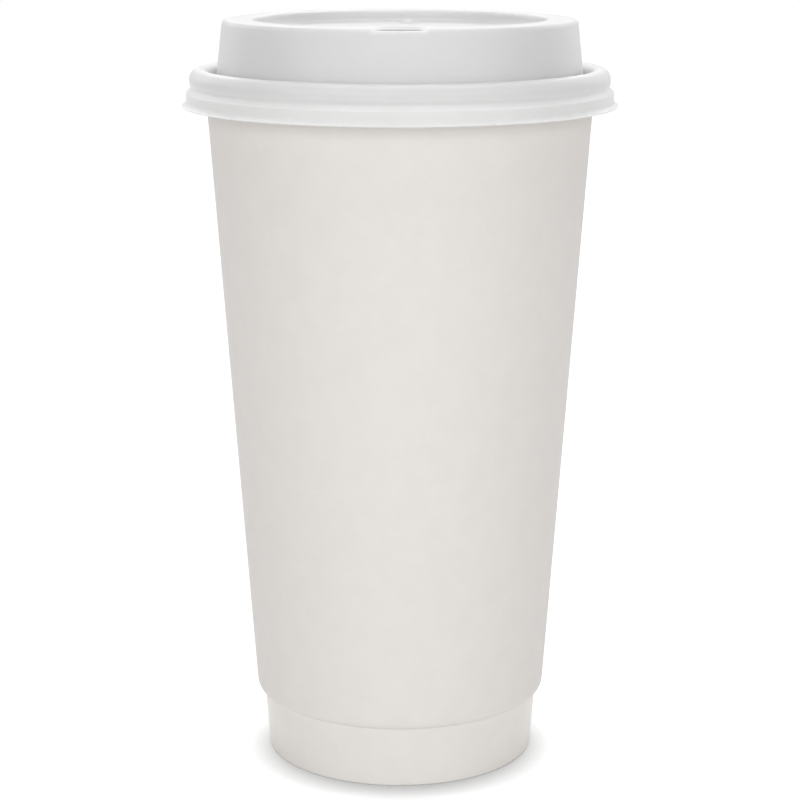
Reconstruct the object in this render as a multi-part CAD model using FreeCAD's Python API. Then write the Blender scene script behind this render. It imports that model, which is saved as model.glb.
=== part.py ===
import FreeCAD, Part
import math
import os

# A double-wall paper hot cup with a push-on dome lid, in millimetres.
# Z points up, the origin is the centre of the foot on the standing plane.
# The sip hole faces -Y and the lap seams of the paper face +Y.

# Side wall: a paperboard cone that tapers down from its rolled rim to a folded hem
cup_height = 153.1
rim_radius = 45.0
roll_radius = 1.75
roll_end_length = 0.2
wall_slope = 0.0794
wall_board = 0.40
hem_height = 8.0
side_lap_width = 8.0
side_lap_step = 0.15
lap_end_gap = 0.5
ply_gap = 0.02

# Base: a paper disc with a turned-down skirt held in the hem
base_board = 0.35
base_height = 9.4
base_fold_radius = 0.9

# Outer wrap: the insulating jacket, curled in to the side wall at its foot
wrap_board = 0.35
wrap_drop = 7.1
wrap_slope = 0.0712
wrap_gap = 0.03
curl_radius = 2.25
curl_start_height = 15.5
wrap_lap_width = 8.0
wrap_lap_step = 0.25

# Lid: one thermoformed sheet, whose rim channel fits over the cup's rolled rim
lid_sheet = 0.40
lid_clearance = 0.10
bead_depth = 3.3
undercut_bite = 0.26
undercut_drop = 0.8
undercut_radius = 0.6
ring_step = 0.8
ring_drop = 1.0
ring_height = 2.2
ring_corner_radius = 0.45
lip_flare = 1.0
lip_drop = 0.58

# Dome: it rises from the groove inside the rim channel
groove_depth = 3.6
groove_width = 0.98
dome_rise = 10.4
dome_slope = 0.118
dome_corner_radius = 1.0

# Lid top: the drinking ledge and the recess inside it
ledge_width = 6.65
ledge_round = 0.8
recess_depth = 2.5
recess_draft = 0.22
recess_floor_radius = 1.6
tongue_radius = 8.5
tongue_inset = 4.55
tongue_blend_radius = 3.0

# Sip pocket, sip hole and vent
pocket_half_floor = 5.15
pocket_depth = 0.5
pocket_ramp = 0.8
pocket_round = 1.1
sip_hole_length = 9.4
sip_hole_width = 4.8
sip_hole_shift = 0.5
vent_x = 1.5
vent_inset = 6.6
vent_height = 0.8
vent_top_radius = 1.0
vent_foot_radius = 1.7
vent_hole_radius = 0.4

# Working values: how far a cutting form stands past the face it cuts, and how near a match is
overshoot = 1.0
nearly = 1e-3
wall_match = 0.02
same_point = 1e-6


def turn_radius(radius, turn, distance):
    """The radius of a corner on a path moved sideways by distance."""
    moved = radius - distance if turn > 0 else radius + distance
    return max(moved, 0.0)


def unit(start, end):
    length = math.hypot(end[0] - start[0], end[1] - start[1])
    return (end[0] - start[0]) / length, (end[1] - start[1]) / length


def offset_path(path, distance):
    """A path moved to the left of its direction of travel.

    A path is a list of corners, each a radius from the axis, a height and
    the radius that rounds the corner.
    """
    directions = [unit(a, b) for a, b in zip(path, path[1:])]
    moved = []
    for index, (r, z, rounding) in enumerate(path):
        before = directions[max(index - 1, 0)]
        after = directions[min(index, len(directions) - 1)]
        turn = before[0] * after[1] - before[1] * after[0]
        share = distance / (1 + before[0] * after[0] + before[1] * after[1])
        shift_r = -(before[1] + after[1]) * share
        shift_z = (before[0] + after[0]) * share
        moved.append((r + shift_r, z + shift_z, turn_radius(rounding, turn, distance)))
    return moved


def point(r, z):
    return FreeCAD.Vector(r, 0, z)


def path_edges(path):
    """Straight runs joined by tangent arcs at the rounded corners."""
    edges = []
    start = point(path[0][0], path[0][1])
    for before, corner, after in zip(path, path[1:], path[2:]):
        arrive = unit(before, corner)
        leave = unit(corner, after)
        half_turn = math.acos(max(-1.0, min(1.0, arrive[0] * leave[0] + arrive[1] * leave[1]))) / 2
        rounding = corner[2]
        if rounding == 0:
            tip = point(corner[0], corner[1])
            edges.append(Part.LineSegment(start, tip).toShape())
            start = tip
            continue
        setback = rounding * math.tan(half_turn)
        arc_start = point(corner[0] - arrive[0] * setback, corner[1] - arrive[1] * setback)
        arc_end = point(corner[0] + leave[0] * setback, corner[1] + leave[1] * setback)
        inward = unit((0, 0), (leave[0] - arrive[0], leave[1] - arrive[1]))
        reach = rounding / math.cos(half_turn) - rounding
        arc_middle = point(corner[0] + inward[0] * reach, corner[1] + inward[1] * reach)
        if start.distanceToPoint(arc_start) > same_point:
            edges.append(Part.LineSegment(start, arc_start).toShape())
        edges.append(Part.Arc(arc_start, arc_middle, arc_end).toShape())
        start = arc_end
    edges.append(Part.LineSegment(start, point(path[-1][0], path[-1][1])).toShape())
    return edges


def spin(edges):
    """Turn a closed outline about the cup's axis."""
    outline = Part.Wire(Part.__sortEdges__(edges))
    return Part.Face(outline).revolve(FreeCAD.Vector(0, 0, 0), FreeCAD.Vector(0, 0, 1), 360)


def line_between(first, second):
    return Part.LineSegment(point(first[0], first[1]), point(second[0], second[1])).toShape()


def sheet(path, thickness):
    """A sheet of even thickness, to the left of the path, turned about the axis."""
    other = offset_path(path, thickness)
    edges = path_edges(path) + path_edges(other)
    if path[0][0] > 0:
        edges.append(line_between(path[0], other[0]))
    else:
        edges.append(Part.LineSegment(point(0, path[0][1]), point(0, other[0][1])).toShape())
    edges.append(line_between(path[-1], other[-1]))
    return spin(edges)


def below(path, closing):
    """The solid of revolution under a path that starts on the axis, closed through more points."""
    edges = path_edges(path)
    corners = [path[-1]] + closing + [path[0]]
    for first, second in zip(corners, corners[1:]):
        edges.append(line_between(first, second))
    return spin(edges)


def cone(top_radius, foot_radius, top, foot, x=0, y=0):
    """An upright round form with a drafted side."""
    centre = FreeCAD.Vector(x, y, foot)
    return Part.makeCone(foot_radius, top_radius, top - foot, centre, FreeCAD.Vector(0, 0, 1))


def middle_of(edge):
    return edge.valueAt((edge.FirstParameter + edge.LastParameter) / 2)


def level_edges(shape, height):
    """The edges of a shape that lie level at a height."""
    found = []
    for edge in shape.Edges:
        box = edge.BoundBox
        if abs(box.ZMin - height) < nearly and abs(box.ZMax - height) < nearly:
            found.append(edge)
    return found


def lap_seam(layer, width):
    """The strip of a second layer of paper that lies over the seam on the +Y side."""
    box = layer.BoundBox
    strip = Part.makeBox(width, box.YMax, box.ZLength, FreeCAD.Vector(-width / 2, 0, box.ZMin))
    return layer.common(strip)


def across(thickness, slope):
    """How far a sloping sheet reaches along the radius."""
    return thickness * math.hypot(1, slope)


def side_inside(z):
    """Radius of the side wall's inner face at a height: it runs straight into the round roll."""
    meeting_angle = math.pi / 2 - math.atan(wall_slope)
    roll_reach = roll_radius * (1 + math.tan(meeting_angle / 2))
    return rim_radius - roll_reach - wall_slope * (cup_height - z)


def side_outside(z):
    """Radius of the side wall's outer face at a height."""
    return side_inside(z) + across(wall_board, wall_slope)


# The lid's heights and radii that several of its features share
rim_cover = lid_clearance + lid_sheet
crest_height = cup_height + rim_cover
groove_bottom = crest_height - groove_depth
lid_height = crest_height + dome_rise
plug_radius = side_inside(crest_height) - across(rim_cover, wall_slope)
dome_foot_radius = plug_radius - wall_slope * groove_depth - groove_width
dome_radius = dome_foot_radius - dome_slope * (lid_height - groove_bottom)
bead_radius = rim_radius + rim_cover
ring_radius = bead_radius + ring_step
lip_radius = ring_radius + lip_flare
recess_radius = dome_radius - ledge_width
tongue_offset = dome_radius - tongue_inset
sip_hole_offset = tongue_offset - sip_hole_shift
vent_y = recess_radius - vent_inset


def make_cup_sidewall():
    # The path runs on the paper's inner face, from the hem's top edge down, round the fold,
    # up the wall and once round the rolled rim, so the paper lies to the right of it.
    hem_face = side_inside(0) - across(base_board, wall_slope) - 2 * ply_gap
    roll_bottom = cup_height - 2 * roll_radius
    curl_left = side_outside(cup_height - roll_radius) + ply_gap
    inner_radius = rim_radius - roll_radius - curl_left
    inner_top = roll_bottom + 2 * inner_radius
    path = [
        (hem_face + wall_slope * hem_height, hem_height, 0),
        (hem_face + wall_slope * wall_board, wall_board, 0),
        (side_inside(wall_board), wall_board, 0),
        (side_inside(cup_height), cup_height, roll_radius),
        (rim_radius, cup_height, roll_radius),
        (rim_radius, roll_bottom, roll_radius),
        (curl_left, roll_bottom, inner_radius),
        (curl_left, inner_top, inner_radius),
        (curl_left + inner_radius + roll_end_length, inner_top, 0),
    ]
    lap_top = groove_bottom - lid_sheet - lap_end_gap
    lap_foot = base_height + lap_end_gap
    lap_path = [(side_inside(lap_foot), lap_foot, 0), (side_inside(lap_top), lap_top, 0)]
    lap = lap_seam(sheet(lap_path, side_lap_step), side_lap_width)
    return sheet(path, -wall_board).fuse(lap).removeSplitter()


def make_cup_base():
    bottom = wall_board + 3 * ply_gap
    path = [
        (0, base_height, 0),
        (side_inside(base_height) - ply_gap, base_height, base_fold_radius),
        (side_inside(bottom) - ply_gap, bottom, 0),
    ]
    return sheet(path, -base_board)


def make_outer_wrap():
    wrap_top = cup_height - wrap_drop
    top_radius = side_outside(wrap_top) + wrap_gap + across(wrap_board, wrap_slope)
    start_radius = top_radius - wrap_slope * (wrap_top - curl_start_height)
    # The curl is an arc about this centre that stops where its cut edge meets the side wall
    lean = math.atan(wrap_slope)
    centre_radius = start_radius - curl_radius * math.cos(lean)
    centre_height = curl_start_height + curl_radius * math.sin(lean)
    room = side_outside(centre_height) + wrap_gap - centre_radius
    inner_reach = across(curl_radius - wrap_board, wall_slope)
    end_angle = math.atan(wall_slope) + math.acos(room / inner_reach)
    setback = curl_radius * math.tan((end_angle - lean) / 2)
    curl_end = (
        centre_radius + curl_radius * math.cos(end_angle),
        centre_height - curl_radius * math.sin(end_angle),
    )
    corner = (
        start_radius - setback * math.sin(lean),
        curl_start_height - setback * math.cos(lean),
    )
    path = [curl_end + (0,), corner + (curl_radius,), (top_radius, wrap_top, 0)]
    lap = lap_seam(sheet(path, -wrap_lap_step), wrap_lap_width)
    return sheet(path, wrap_board).fuse(lap).removeSplitter()


def lid_path():
    """The outer face of the lid's sheet, from the axis out and down to the lip."""
    crest_round = roll_radius + rim_cover
    groove_round = groove_width / 2
    bead_bottom = crest_height - bead_depth
    undercut_height = bead_bottom - undercut_drop
    ring_top = undercut_height - ring_drop
    ring_bottom = ring_top - ring_height
    return [
        (0, lid_height, 0),
        (dome_radius, lid_height, 0),
        (dome_foot_radius, groove_bottom, groove_round),
        (dome_foot_radius + groove_width, groove_bottom, groove_round),
        (plug_radius, crest_height, crest_round),
        (bead_radius, crest_height, crest_round),
        (bead_radius, bead_bottom, undercut_radius),
        (rim_radius - undercut_bite + lid_sheet, undercut_height, undercut_radius),
        (ring_radius, ring_top, ring_corner_radius),
        (ring_radius, ring_bottom, ring_corner_radius),
        (lip_radius, ring_bottom - lip_drop, 0),
    ]


def recess_form(inset):
    """The hollow inside the drinking ledge, grown by inset, with the tongue left standing."""
    top = lid_height + overshoot
    floor = lid_height - recess_depth - inset
    widen = recess_draft * (top - lid_height)
    narrow = recess_draft * (lid_height - floor)
    side = recess_radius + inset
    hollow = cone(side + widen, side - narrow, top, floor)
    tongue_side = tongue_radius - inset
    tongue = cone(tongue_side - widen, tongue_side + narrow, top, floor, y=-tongue_offset)
    hollow = hollow.cut(tongue)
    upright = [edge for edge in hollow.Edges if edge.BoundBox.ZLength > top - floor - nearly]
    middles = [(edge, middle_of(edge)) for edge in upright]
    corners = [edge for edge, spot in middles if spot.y < 0 and abs(spot.x) > tongue_radius / 2]
    hollow = hollow.makeFillet(tongue_blend_radius + inset, corners)
    return hollow.makeFillet(recess_floor_radius + inset, level_edges(hollow, floor))


def pocket_half_width(height, inset):
    """Half the width of the sip pocket between its ramps, grown by inset."""
    climb = height - (lid_height - pocket_depth - inset)
    return pocket_half_floor + inset + pocket_ramp / pocket_depth * climb


def pocket_form(inset):
    """The wedge over the sip pocket: a round inner end and ramps that run out to the front."""
    floor = lid_height - pocket_depth - inset
    top = lid_height + overshoot
    half_floor = pocket_half_width(floor, inset)
    half_top = pocket_half_width(top, inset)
    end = cone(half_top, half_floor, top, floor, y=-tongue_offset)
    front = -dome_radius - lip_radius
    corners = [(-half_floor, floor), (half_floor, floor), (half_top, top), (-half_top, top)]
    points = [FreeCAD.Vector(x, front, z) for x, z in corners]
    profile = Part.Face(Part.makePolygon(points + points[:1]))
    run = profile.extrude(FreeCAD.Vector(0, -tongue_offset - front, 0))
    return end.fuse(run).removeSplitter()


def pocket_edges(shape, height, inset):
    """The pocket's own outline at a height: two straight sides and the round inner end."""
    half = pocket_half_width(height, inset)
    found = []
    for edge in level_edges(shape, height):
        middle = middle_of(edge)
        on_side = middle.y < -tongue_offset and abs(abs(middle.x) - half) < nearly
        on_end = abs(math.hypot(middle.x, middle.y + tongue_offset) - half) < nearly
        if on_side or on_end:
            found.append(edge)
    return found


def dome_top_edges(shape, inset):
    """The chain of edges round the top of the dome's wall, down and up through the pocket."""
    thickness = across(inset, dome_slope)
    lowest = lid_height - pocket_depth - inset - nearly
    found = []
    for edge in shape.Edges:
        ends = (edge.valueAt(edge.FirstParameter), edge.valueAt(edge.LastParameter))
        on_wall = True
        for spot in ends + (middle_of(edge),):
            wall = dome_radius + dome_slope * (lid_height - spot.z) - thickness
            if spot.z < lowest or abs(math.hypot(spot.x, spot.y) - wall) > wall_match:
                on_wall = False
        if on_wall:
            found.append(edge)
    return found


def lid_form(inset):
    """Everything under the face that lies inset below the lid's outer face."""
    inner_end = offset_path(lid_path(), -lid_sheet)[-1]
    if inset == 0:
        form = below(lid_path(), [inner_end, (0, inner_end[1])])
    else:
        deeper = inner_end[1] - lid_sheet
        form = below(offset_path(lid_path(), -inset), [(inner_end[0], deeper), (0, deeper)])
    top = lid_height - inset
    form = form.cut(recess_form(inset))
    ledge_middle = recess_radius + ledge_width / 2
    middles = [(edge, middle_of(edge)) for edge in level_edges(form, top)]
    ledge = [edge for edge, spot in middles if math.hypot(spot.x, spot.y) < ledge_middle]
    form = form.makeFillet(ledge_round - inset, ledge)
    form = form.cut(pocket_form(inset))
    form = form.makeFillet(pocket_round - inset, pocket_edges(form, top, inset))
    floor = top - pocket_depth
    form = form.makeFillet(pocket_round + inset, pocket_edges(form, floor, inset))
    form = form.makeFillet(dome_corner_radius - inset, dome_top_edges(form, inset))
    recess_floor = lid_height - recess_depth - inset
    pip = cone(vent_top_radius - inset, vent_foot_radius - inset, recess_floor + vent_height,
               recess_floor, vent_x, vent_y)
    return form.fuse(pip)


def make_lid():
    lid = lid_form(0).cut(lid_form(lid_sheet))
    foot = lid_height - recess_depth - lid_sheet - overshoot
    rise = lid_height + overshoot - foot
    up = FreeCAD.Vector(0, 0, 1)
    reach = sip_hole_length / 2 - sip_hole_width / 2
    sip = Part.makeBox(2 * reach, sip_hole_width, rise,
                       FreeCAD.Vector(-reach, -sip_hole_offset - sip_hole_width / 2, foot))
    for side in (-1, 1):
        centre = FreeCAD.Vector(side * reach, -sip_hole_offset, foot)
        sip = sip.fuse(Part.makeCylinder(sip_hole_width / 2, rise, centre, up))
    vent = Part.makeCylinder(vent_hole_radius, rise, FreeCAD.Vector(vent_x, vent_y, foot), up)
    return lid.cut(sip.removeSplitter()).cut(vent)


nodes = {
    "cup_sidewall": make_cup_sidewall,
    "cup_base": make_cup_base,
    "outer_wrap": make_outer_wrap,
    "lid": make_lid,
}

os.makedirs("parts", exist_ok=True)
for name, make in nodes.items():
    shape = make()
    print(name, "valid", shape.isValid(), "solids", len(shape.Solids), "volume", round(shape.Volume, 1))
    shape.exportStep("parts/" + name + ".step")
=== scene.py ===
# %% [markdown]
# # A paper coffee cup with its lid
# This lesson dresses a double-wall paper hot cup: a side wall, a base, an outer wrap and a lid. The
# shapes could be modelled again here, but they would drift from the real sizes. So they come from the
# CAD frame as they are, and Blender gives each piece the finish of the real one. The frame is loaded
# first, because the lamps and the sizes below are placed and measured from it.

# %% Load the frame
import bpy
import math
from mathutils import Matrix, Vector


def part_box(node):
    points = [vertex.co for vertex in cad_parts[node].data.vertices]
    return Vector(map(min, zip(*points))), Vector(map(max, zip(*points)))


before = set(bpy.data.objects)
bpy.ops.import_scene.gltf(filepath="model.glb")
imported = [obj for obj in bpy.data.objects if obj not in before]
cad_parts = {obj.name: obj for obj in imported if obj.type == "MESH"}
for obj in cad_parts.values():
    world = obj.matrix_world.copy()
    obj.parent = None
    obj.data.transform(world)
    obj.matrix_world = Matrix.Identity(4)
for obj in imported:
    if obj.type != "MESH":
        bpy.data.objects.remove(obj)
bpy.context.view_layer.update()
MM = 0.001
cup_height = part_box("cup_sidewall")[1][2]
lid_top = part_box("lid")[1][2]
print("cup", round(cup_height / MM, 1), "mm high, with its lid", round(lid_top / MM, 1), "mm")

# %% [markdown]
# ## The camera
# The photograph was taken with a long lens from about half a metre away, a little above the rim, so
# the lid's top shows as a thin ellipse and the foot as a deeper one. A camera can be moved by eye until
# the picture looks right, but here the height, the distance, the tilt and the lens were worked out
# together from those ellipses, which leaves no guess. A camera in Blender looks down its own -Z, so it
# is turned about X: 90 degrees would be level, and a little less looks down.

# %% Camera
CAMERA_DISTANCE = 495 * MM
CAMERA_HEIGHT = 192.4 * MM
CAMERA_DIP_DEGREES = 12.83
LENS_MM = 102.2
SENSOR_WIDTH_MM = 36

camera_data = bpy.data.cameras.new("photo_camera")
camera_data.lens = LENS_MM
camera_data.sensor_width = SENSOR_WIDTH_MM
camera = bpy.data.objects.new("photo_camera", camera_data)
camera.location = (0, -CAMERA_DISTANCE, CAMERA_HEIGHT)
camera.rotation_euler = (math.radians(90 - CAMERA_DIP_DEGREES), 0, 0)
bpy.context.scene.collection.objects.link(camera)
bpy.context.scene.camera = camera
bpy.context.scene.view_settings.view_transform = "Standard"
print("camera at", tuple(round(v, 4) for v in camera.location), "with a lens of", LENS_MM, "mm")

# %% [markdown]
# ## Small helpers
# A colour is written as the hex value that a picture editor shows, which is sRGB, while a shader works
# in linear light, so one function turns the first into the second. Nodes could be added and linked by
# hand in the shader editor. A second function does both in one call, so each material below reads as a
# list of what it is made of.

# %% Helpers
def linear(hex_colour):
    """A colour for a shader socket from an sRGB hex value."""
    channels = [int(hex_colour[i:i + 2], 16) / 255 for i in (1, 3, 5)]
    light = [c / 12.92 if c <= 0.04045 else ((c + 0.055) / 1.055) ** 2.4 for c in channels]
    return (*light, 1.0)


def add_node(tree, kind, settings=(), values=(), links=()):
    """Add a node, set its properties and its sockets' values, and link its inputs."""
    node = tree.nodes.new(kind)
    for name, value in dict(settings).items():
        setattr(node, name, value)
    for socket, value in dict(values).items():
        node.inputs[socket].default_value = value
    for socket, source in dict(links).items():
        tree.links.new(source, node.inputs[socket])
    return node


def new_material(name):
    """An empty material and the node tree to fill."""
    material = bpy.data.materials.new(name)
    material.use_nodes = True
    material.node_tree.nodes.clear()
    return material, material.node_tree


print("the mid grey #808080 is", round(linear("#808080")[0], 3), "in linear light")

# %% [markdown]
# ## Bleached cup board
# The cup's paper is bleached paperboard: short wood fibres pressed flat. The eye sees a warm white with
# faint clouds a few millimetres across, where the fibres lie thicker, and a fine felt of single fibres.
# A scanned picture of paper would need a seam where it meets itself round the cone. Noise in the
# object's own coordinates has none, so a soft noise gives the clouds, and a fine one gives the fibres,
# which tint the surface and lift it a little.

# %% Bleached cup board
CLOUD_SIZE = 5 * MM
# A real fibre is about 0.03 mm wide, too fine for this view, so it is drawn ten times coarser
FIBRE_SIZE = 0.3 * MM
FIBRE_HEIGHT = 0.02 * MM
# The two noises multiplied lie mostly between these values
FELT_LOW = 0.15
FELT_HIGH = 0.35
BOARD_IOR = 1.5


def cup_board(name, light_tone, dark_tone, roughness, relief):
    """Paperboard with clouds and fibres between two tones."""
    material, tree = new_material(name)
    place = add_node(tree, "ShaderNodeTexCoord")
    clouds = add_node(tree, "ShaderNodeTexNoise",
                      values={"Scale": 1 / CLOUD_SIZE, "Detail": 4.0, "Roughness": 0.55},
                      links={"Vector": place.outputs["Object"]})
    fibres = add_node(tree, "ShaderNodeTexNoise",
                      values={"Scale": 1 / FIBRE_SIZE, "Detail": 3.0, "Roughness": 0.6},
                      links={"Vector": place.outputs["Object"]})
    felt = add_node(tree, "ShaderNodeMath", {"operation": "MULTIPLY"},
                    links={0: clouds.outputs[0], 1: fibres.outputs[0]})
    tone = add_node(tree, "ShaderNodeMapRange", values={"From Min": FELT_LOW, "From Max": FELT_HIGH},
                    links={"Value": felt.outputs[0]})
    colour = add_node(tree, "ShaderNodeMix", {"data_type": "RGBA"},
                      values={"A": linear(dark_tone), "B": linear(light_tone)},
                      links={"Factor": tone.outputs[0]})
    bump = add_node(tree, "ShaderNodeBump", values={"Strength": relief, "Distance": FIBRE_HEIGHT},
                    links={"Height": fibres.outputs[0]})
    shader = add_node(tree, "ShaderNodeBsdfPrincipled",
                      values={"Roughness": roughness, "IOR": BOARD_IOR},
                      links={"Base Color": colour.outputs["Result"], "Normal": bump.outputs[0]})
    add_node(tree, "ShaderNodeOutputMaterial", links={"Surface": shader.outputs[0]})
    return material


print("clouds", round(CLOUD_SIZE / MM, 1), "mm and fibres", round(FIBRE_SIZE / MM, 1), "mm wide")

# %% [markdown]
# ## Three boards
# The outer wrap is bare board, with no gloss. The side wall carries a thin film of polyethylene, which
# keeps the drink in, fills the felt and gives a soft shine, and the base's board lies between the two.
# Each could be a material of its own, but it is the same paper, so one function makes all three, and
# only tone, roughness and relief change.

# %% Three boards
wrap_board = cup_board("bleached_board_uncoated", "#EDE9E5", "#EAE6E2", roughness=0.62, relief=0.35)
side_board = cup_board("bleached_board_coated", "#EEEAE5", "#EBE7E2", roughness=0.34, relief=0.15)
base_board = cup_board("bleached_board_base", "#E8E5E0", "#E3E0DA", roughness=0.5, relief=0.25)
print("boards:", wrap_board.name, side_board.name, base_board.name)

# %% [markdown]
# ## Thermoformed polystyrene
# The lid is a white polystyrene sheet, heated and drawn over a mould. Light sinks into the thin sheet
# and comes out again beside where it went in, which softens every shade, and over that lies a satin
# skin that is rougher or smoother in slow waves, where the sheet cooled. A plain glossy white looks
# like china. So subsurface scattering gives the soft shades, and a thin coat gives the skin.

# %% Thermoformed polystyrene
WAVE_SIZE = 9 * MM
WAVE_HEIGHT = 0.05 * MM
SKIN_SMOOTHEST = 0.4
SKIN_ROUGHEST = 0.46
LIGHT_SPREAD = 1.0 * MM
POLYSTYRENE_IOR = 1.59


def thermoformed_polystyrene():
    """White sheet that light sinks into, under a satin skin with slow waves."""
    material, tree = new_material("polystyrene_thermoformed")
    place = add_node(tree, "ShaderNodeTexCoord")
    waves = add_node(tree, "ShaderNodeTexNoise", values={"Scale": 1 / WAVE_SIZE, "Detail": 1.0},
                     links={"Vector": place.outputs["Object"]})
    colour = add_node(tree, "ShaderNodeMix", {"data_type": "RGBA"},
                      values={"A": linear("#E4E4E4"), "B": linear("#E7E7E7")},
                      links={"Factor": waves.outputs[0]})
    gloss = add_node(tree, "ShaderNodeMapRange",
                     values={"To Min": SKIN_SMOOTHEST, "To Max": SKIN_ROUGHEST},
                     links={"Value": waves.outputs[0]})
    bump = add_node(tree, "ShaderNodeBump", values={"Strength": 0.1, "Distance": WAVE_HEIGHT},
                    links={"Height": waves.outputs[0]})
    shader = add_node(tree, "ShaderNodeBsdfPrincipled",
                      values={"IOR": POLYSTYRENE_IOR, "Subsurface Weight": 1.0,
                              "Subsurface Radius": (1.0, 1.0, 1.0), "Subsurface Scale": LIGHT_SPREAD,
                              "Coat Weight": 0.4, "Coat Roughness": 0.28},
                      links={"Base Color": colour.outputs["Result"], "Roughness": gloss.outputs[0],
                             "Normal": bump.outputs[0]})
    add_node(tree, "ShaderNodeOutputMaterial", links={"Surface": shader.outputs[0]})
    return material


lid_polystyrene = thermoformed_polystyrene()
print("lid sheet:", lid_polystyrene.name, "with light that spreads", LIGHT_SPREAD / MM, "mm")

# %% [markdown]
# ## Each piece gets its finish
# Every piece of the frame came with one plain material in its first slot. A finish could be added as a
# second slot and assigned face by face, but each of these pieces is one sheet of one material. So the
# new material takes the plain one's place, and the shape and the place of the piece stay untouched.

# %% Finish of each piece
for node_name, finish in (("cup_sidewall", side_board), ("cup_base", base_board),
                          ("outer_wrap", wrap_board), ("lid", lid_polystyrene)):
    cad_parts[node_name].material_slots[0].material = finish
    print(node_name, "is finished in", finish.name)

# %% [markdown]
# ## Floor
# The cup stands on a white sweep, a sheet of paper that runs out of the picture on every side. A curved
# sweep with a wall behind it is how a studio does it. Here the room behind is white too, so one flat
# square is enough, large enough that its edge lies far off.

# %% Floor
FLOOR_SIZE = 6.0

half = FLOOR_SIZE / 2
floor_mesh = bpy.data.meshes.new("floor")
floor_mesh.from_pydata([(-half, -half, 0), (half, -half, 0), (half, half, 0), (-half, half, 0)],
                       [], [(0, 1, 2, 3)])
floor = bpy.data.objects.new("floor", floor_mesh)
bpy.context.scene.collection.objects.link(floor)
print("floor", FLOOR_SIZE, "m wide")

# %% [markdown]
# ## White sweep
# The photograph shows the sweep as pure white with a small soft shadow round the foot. A plain white
# floor lit like the cup comes out pale grey, and more light would bleach the cup. So the floor adds a
# glow that only camera, mirror and clear rays see. Round the foot that glow is painted darker, as a
# painted contact shadow: it weakens in the last few millimetres, where an ambient occlusion node finds
# little open sky. That node looks up and a little to the rear, which puts the painted shadow in front
# of the foot. The cup's own shadow falls on the grey beneath the glow, while light bounces from the
# floor as from white paper.

# %% White sweep
FLOOR_GLOW = 1.0
# These numbers shape a painted contact shadow: the floor's glow is dimmed round the foot.
PAINTED_SHADOW_GLOW = 0.2
SHADOW_REACH = 15 * MM
PAINTED_SHADOW_TILT = math.radians(27)
PAINTED_SHADOW_DARKEST_AO = 0.27
PAINTED_SHADOW_FREE_AO = 0.85


def seen_directly(tree):
    """1 for camera, mirror and clear rays, 0 for the rays that carry light between surfaces."""
    rays = add_node(tree, "ShaderNodeLightPath")
    seen = rays.outputs["Is Camera Ray"]
    for kind in ("Is Glossy Ray", "Is Transmission Ray"):
        larger = add_node(tree, "ShaderNodeMath", {"operation": "MAXIMUM"},
                          links={0: seen, 1: rays.outputs[kind]})
        seen = larger.outputs[0]
    return seen


white_sweep, sweep_tree = new_material("white_sweep")
seen = seen_directly(sweep_tree)
# Painted contact shadow: ambient occlusion, leaning to the rear, dims the glow near the foot, so the
# painted shadow lies in front of it.
painted_shadow_lean = add_node(sweep_tree, "ShaderNodeCombineXYZ",
                       values={"Y": math.sin(PAINTED_SHADOW_TILT), "Z": math.cos(PAINTED_SHADOW_TILT)})
painted_shadow_ao = add_node(sweep_tree, "ShaderNodeAmbientOcclusion", {"samples": 16}, {"Distance": SHADOW_REACH},
               {"Normal": painted_shadow_lean.outputs[0]})
painted_shadow_fade = add_node(sweep_tree, "ShaderNodeMapRange",
                    values={"From Min": PAINTED_SHADOW_DARKEST_AO, "From Max": PAINTED_SHADOW_FREE_AO, "To Min": PAINTED_SHADOW_GLOW},
                    links={"Value": painted_shadow_ao.outputs["AO"]})
glow = add_node(sweep_tree, "ShaderNodeMath", {"operation": "MULTIPLY"},
                links={0: seen, 1: painted_shadow_fade.outputs[0]})
strength = add_node(sweep_tree, "ShaderNodeMath", {"operation": "MULTIPLY"}, {1: FLOOR_GLOW},
                    {0: glow.outputs[0]})
paint = add_node(sweep_tree, "ShaderNodeMix", {"data_type": "RGBA"},
                 {"A": linear("#F8F8F8"), "B": linear("#9F9F9F")}, {"Factor": seen})
matt = add_node(sweep_tree, "ShaderNodeBsdfDiffuse", links={"Color": paint.outputs["Result"]})
light = add_node(sweep_tree, "ShaderNodeEmission", links={"Strength": strength.outputs[0]})
both = add_node(sweep_tree, "ShaderNodeAddShader", links={0: matt.outputs[0], 1: light.outputs[0]})
add_node(sweep_tree, "ShaderNodeOutputMaterial", links={"Surface": both.outputs[0]})
floor_mesh.materials.append(white_sweep)
print("sweep: its glow weakens within", round(SHADOW_REACH / MM), "mm of the foot")

# %% [markdown]
# ## The white room
# In the studio the cup stands in a white room, and what the lamps don't reach is still lit softly from
# all round. That light could come from a picture of a studio, but one even white does the same for an
# object this matt. The camera sees the room at full white, as in the photograph, and so do glossy and
# clear rays, while the light that falls on the cup is much weaker, or it would wash out every shape.

# %% White room
ROOM_LIGHT = 0.17
BACKDROP = 1.0
WHITE = linear("#FFFFFF")

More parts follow.
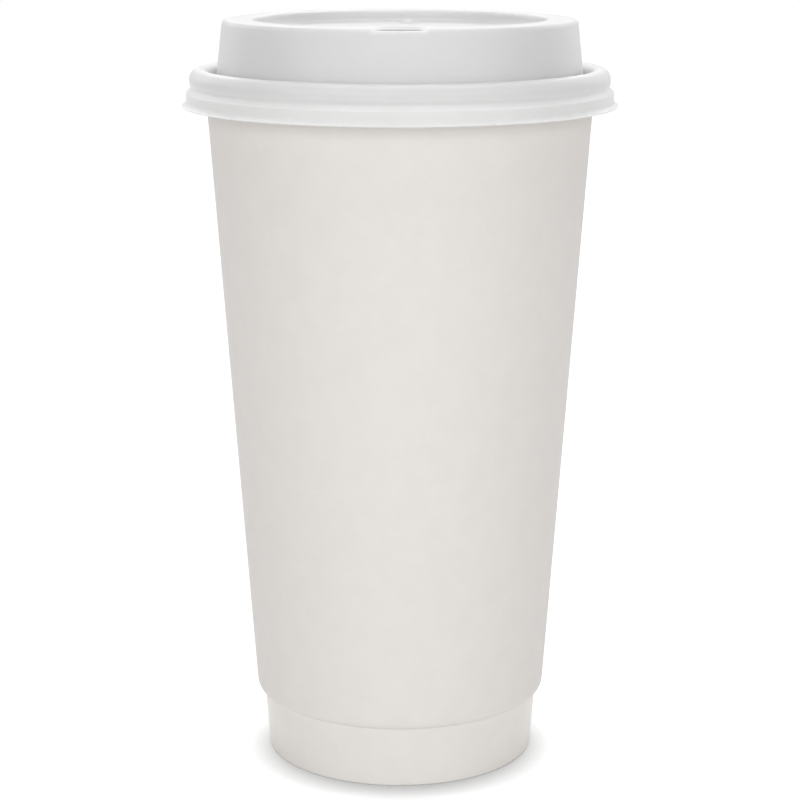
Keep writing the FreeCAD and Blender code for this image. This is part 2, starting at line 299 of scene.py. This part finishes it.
white_room = bpy.data.worlds.new("white_room")
bpy.context.scene.world = white_room
white_room.use_nodes = True
room_tree = white_room.node_tree
room_tree.nodes.clear()
room = add_node(room_tree, "ShaderNodeBackground", values={"Color": WHITE, "Strength": ROOM_LIGHT})
backdrop = add_node(room_tree, "ShaderNodeBackground", values={"Color": WHITE, "Strength": BACKDROP})
choice = add_node(room_tree, "ShaderNodeMixShader",
                  links={0: seen_directly(room_tree), 1: room.outputs[0], 2: backdrop.outputs[0]})
add_node(room_tree, "ShaderNodeOutputWorld", links={"Surface": choice.outputs[0]})
print("room light", ROOM_LIGHT, "and backdrop", BACKDROP)

# %% [markdown]
# ## Lamps
# The photograph has no hard highlight and no hard shadow: the body is brightest down its middle and
# falls off gently to both sides, and the lid is lit as evenly as the paper. Small lamps or a sun would
# draw sharp edges on it. So the lamps are large soft boxes, one above, three in front and three behind.
# Their strengths were fitted together to the tones of the photograph. The front ones stand low, so
# that they light the paper under the lid's lip.

# %% Lamps
def softbox(name, turn, rise, distance, size, watts):
    """An area lamp that faces the cup's middle, turned from the front and raised, in degrees."""
    data = bpy.data.lights.new(name, "AREA")
    data.shape = "RECTANGLE"
    data.size, data.size_y = size
    data.energy = watts
    lamp = bpy.data.objects.new(name, data)
    aim = Vector((0, 0, cup_height / 2))
    level = math.cos(math.radians(rise))
    towards = Vector((math.sin(math.radians(turn)) * level, -math.cos(math.radians(turn)) * level,
                      math.sin(math.radians(rise))))
    lamp.location = aim + towards * distance
    lamp.rotation_euler = towards.to_track_quat("Z", "Y").to_euler()
    bpy.context.scene.collection.objects.link(lamp)
    print(name, watts, "W")


# Turn and rise in degrees, distance, width and height in metres, and watts
softbox("top_softbox", 0, 89.9, 1.3, (1.2, 1.2), 7.6)
softbox("front_softbox", 0, 12, 1.5, (1.5, 1.1), 6.2)
softbox("left_softbox", -45, 15, 1.5, (1.3, 1.2), 5.4)
softbox("right_softbox", 45, 15, 1.5, (1.3, 1.2), 5.4)
softbox("left_rear_softbox", -135, 20, 1.5, (0.8, 0.9), 1.5)
softbox("right_rear_softbox", 135, 20, 1.5, (0.8, 0.9), 1.5)
softbox("rear_softbox", 180, 35, 1.5, (1.2, 0.8), 4.6)
